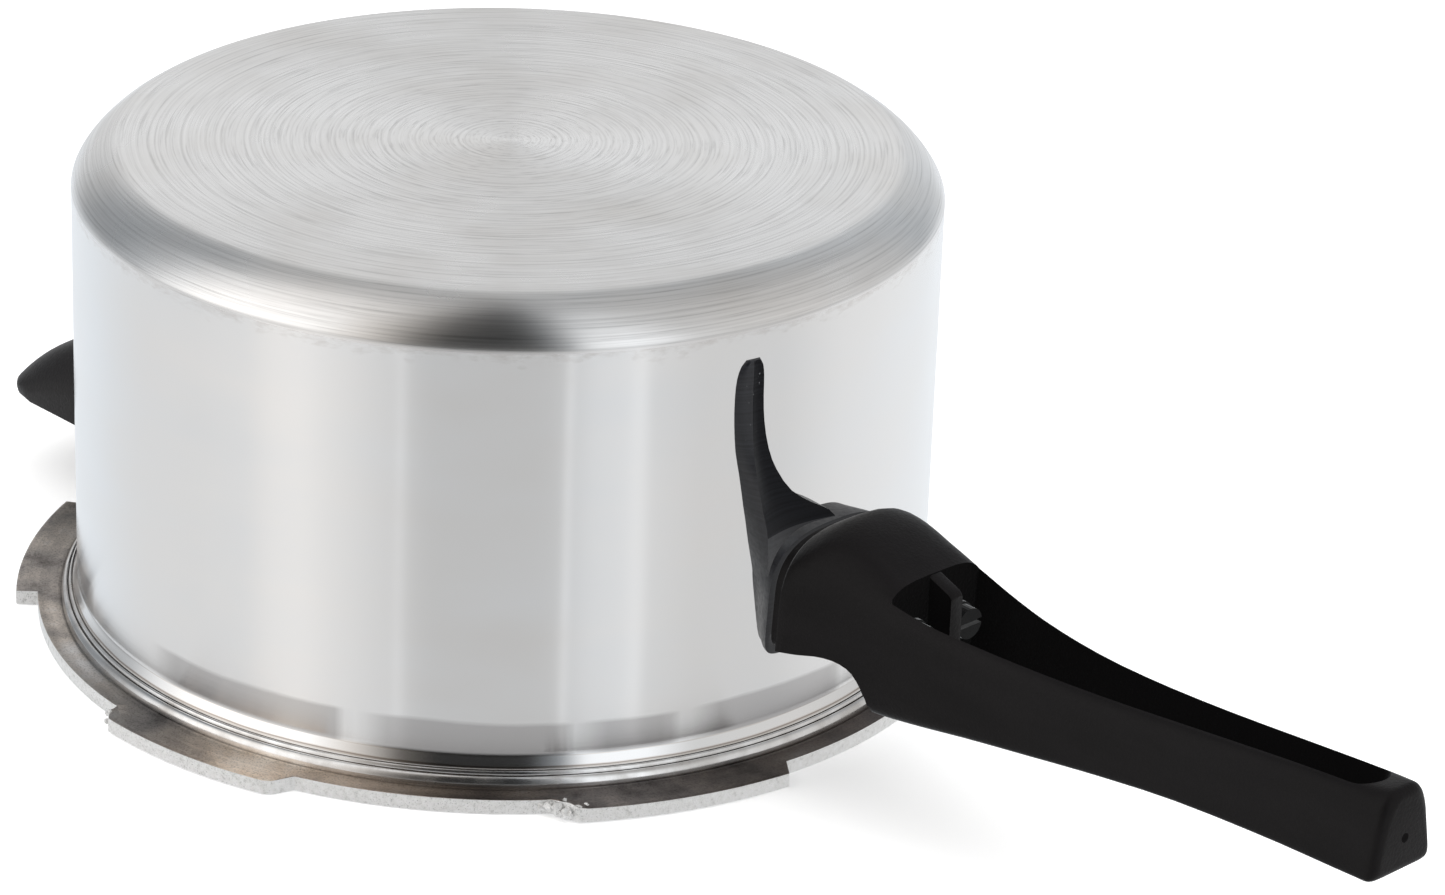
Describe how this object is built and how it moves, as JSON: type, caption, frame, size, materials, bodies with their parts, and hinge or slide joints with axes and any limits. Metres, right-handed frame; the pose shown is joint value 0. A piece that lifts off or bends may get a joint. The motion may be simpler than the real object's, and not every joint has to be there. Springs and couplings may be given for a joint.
{
  "type": "pressure cooker body",
  "caption": "Deep round aluminium cooking pan with a lugged locking rim, a long side handle with a flame guard, and a short helper handle opposite, standing upside down on its rim.",
  "frame": {"origin": "centre of the pan's outer base face, which faces up because the pan stands upside down on its rim", "axes": "+X from the pan axis towards the tip of the long handle, +Z out of the base along the pan axis"},
  "size_m": [0.4325, 0.2402, 0.122],
  "materials": {
    "polished_aluminium": "mirror polished wall, ring-brushed base",
    "black_phenolic": "satin moulded phenolic",
    "grey_guard": "satin dark grey enamel",
    "plated_steel": "zinc plated",
    "rivet_aluminium": "as headed"
  },
  "bodies": {
    "root": {"pan": "polished_aluminium", "locking_rim": "polished_aluminium", "main_handle": "black_phenolic", "flame_guard": "grey_guard", "handle_bracket": "plated_steel", "handle_bracket_rivet_1": "rivet_aluminium", "handle_bracket_rivet_2": "rivet_aluminium", "handle_bracket_rivet_3": "rivet_aluminium", "handle_screw_near": "plated_steel", "handle_screw_far": "plated_steel", "handle_washer_near": "plated_steel", "handle_washer_far": "plated_steel", "helper_handle": "black_phenolic", "helper_bracket": "plated_steel", "helper_bracket_rivet_1": "rivet_aluminium", "helper_bracket_rivet_2": "rivet_aluminium", "helper_screw": "plated_steel", "helper_washer": "plated_steel"}
  },
  "joints": []
}
